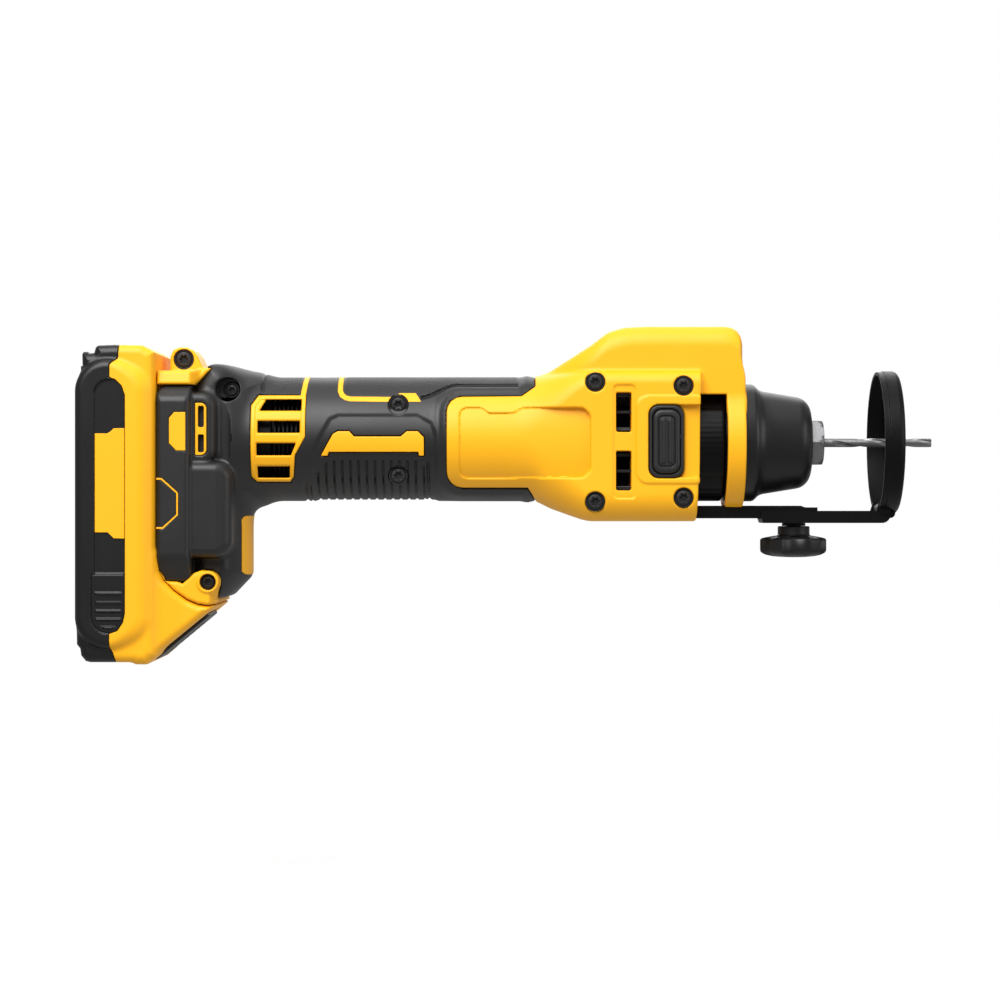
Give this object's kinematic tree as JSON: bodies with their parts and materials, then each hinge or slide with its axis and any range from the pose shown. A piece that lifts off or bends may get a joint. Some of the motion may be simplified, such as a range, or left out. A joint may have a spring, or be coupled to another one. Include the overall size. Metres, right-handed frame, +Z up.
{
  "type": "drywall cut-out tool",
  "caption": "Handheld cordless cut-out tool: in-line round grip, nose housing with twist collar, collet and spiral bit, sliding depth guide ring with clamp knob, slide-on battery pack.",
  "frame": {"origin": "where the spindle axis meets the flat base of the battery pack", "axes": "+X along the spindle from the battery to the bit, +Z up with the tool level, +Y across"},
  "size_m": [0.3097, 0.075, 0.1207],
  "materials": {
    "yellow_nylon": "satin moulded nylon",
    "black_grip": "matte soft overmould",
    "black_nylon": "matte moulded nylon",
    "black_steel": "black oxide",
    "ground_steel": "ground",
    "aluminium": "machined",
    "copper": "bright",
    "lamination": "stacked sheet",
    "magnet": "coated",
    "lens": "clear",
    "board": "solder mask",
    "cell_wrap": "shrink wrap",
    "red_lead": "insulation"
  },
  "bodies": {
    "tool_body": {"right_housing": "yellow_nylon", "left_housing": "yellow_nylon", "right_grip": "black_grip", "left_grip": "black_grip", "housing_screws": "black_steel", "nose_cone": "black_nylon", "bearing_carrier": "aluminium", "front_bearing_race": "ground_steel", "rear_bearing_race": "ground_steel", "stator_core": "lamination", "stator_windings": "copper", "switch_boot": "black_grip", "switch_body": "black_nylon", "light_lens": "lens", "light_board": "board", "controller_case": "black_nylon", "heat_sink": "aluminium", "motor_wires": "red_lead", "terminal_block": "black_nylon", "terminal_blades": "copper", "guide_bracket": "black_steel"},
    "spindle": {"motor_shaft": "ground_steel", "rotor_magnets": "magnet", "cooling_fan": "black_nylon", "front_bearing_inner": "ground_steel", "rear_bearing_inner": "ground_steel"},
    "chuck": {"collet": "ground_steel", "cutting_bit": "ground_steel"},
    "nut": {"collet_nut": "ground_steel", "nut_sleeve": "ground_steel"},
    "collar": {"bit_collar": "black_nylon"},
    "power_button": {"switch_button": "black_grip"},
    "guide": {"guide_arm": "black_steel", "guide_ring": "black_steel", "guide_rivet": "black_steel"},
    "washer": {"clamp_washer": "black_steel"},
    "knob": {"clamp_knob": "black_nylon", "clamp_stud": "ground_steel"},
    "battery": {"battery_tray": "black_nylon", "battery_cover": "yellow_nylon", "battery_cells": "cell_wrap", "cell_frames": "black_nylon", "cell_straps": "ground_steel", "pack_board": "board", "pack_contacts": "copper", "gauge_panel": "black_nylon"},
    "release": {"release_button": "black_nylon"},
    "gauge": {"gauge_button": "black_nylon"}
  },
  "joints": [
    {"name": "spindle_spin", "type": "hinge", "parent": "tool_body", "child": "spindle", "pos_m": [0.2, 0, 0], "axis": [1, 0, 0], "continuous": true},
    {"name": "collet_travel", "type": "slide", "parent": "spindle", "child": "chuck", "axis": [1, 0, 0], "range_m": [0, 0.0015]},
    {"name": "nut_turn", "type": "hinge", "parent": "chuck", "child": "nut", "pos_m": [0.26, 0, 0], "axis": [1, 0, 0], "range_deg": [0, 540]},
    {"name": "collar_turn", "type": "hinge", "parent": "tool_body", "child": "collar", "pos_m": [0.228, 0, 0], "axis": [1, 0, 0], "continuous": true},
    {"name": "switch_press", "type": "slide", "parent": "tool_body", "child": "power_button", "axis": [0, 1, 0], "range_m": [0, 0.002], "stiffness_N_per_m": 600},
    {"name": "guide_slide", "type": "slide", "parent": "tool_body", "child": "guide", "axis": [1, 0, 0], "range_m": [-0.014, 0.006]},
    {"name": "knob_back_off", "type": "slide", "parent": "tool_body", "child": "washer", "axis": [0, 0, -1], "range_m": [0, 0.0016]},
    {"name": "knob_turn", "type": "hinge", "parent": "washer", "child": "knob", "pos_m": [0.2592, 0, -0.03], "axis": [0, 0, -1], "range_deg": [0, 720]},
    {"name": "battery_slide", "type": "slide", "parent": "tool_body", "child": "battery", "axis": [0, 0, -1], "range_m": [0, 0.085]},
    {"name": "release_press", "type": "slide", "parent": "battery", "child": "release", "axis": [-0.6384, 0, 0.7697], "range_m": [0, 0.002], "stiffness_N_per_m": 900},
    {"name": "gauge_press", "type": "slide", "parent": "battery", "child": "gauge", "axis": [0, 0, -1], "range_m": [0, 0.0008], "stiffness_N_per_m": 400}
  ],
  "couplings": [
    {"joint": "nut_turn", "follows": "collet_travel", "rad_per_m": 6283.2},
    {"joint": "knob_turn", "follows": "knob_back_off", "rad_per_m": 7854}
  ]
}
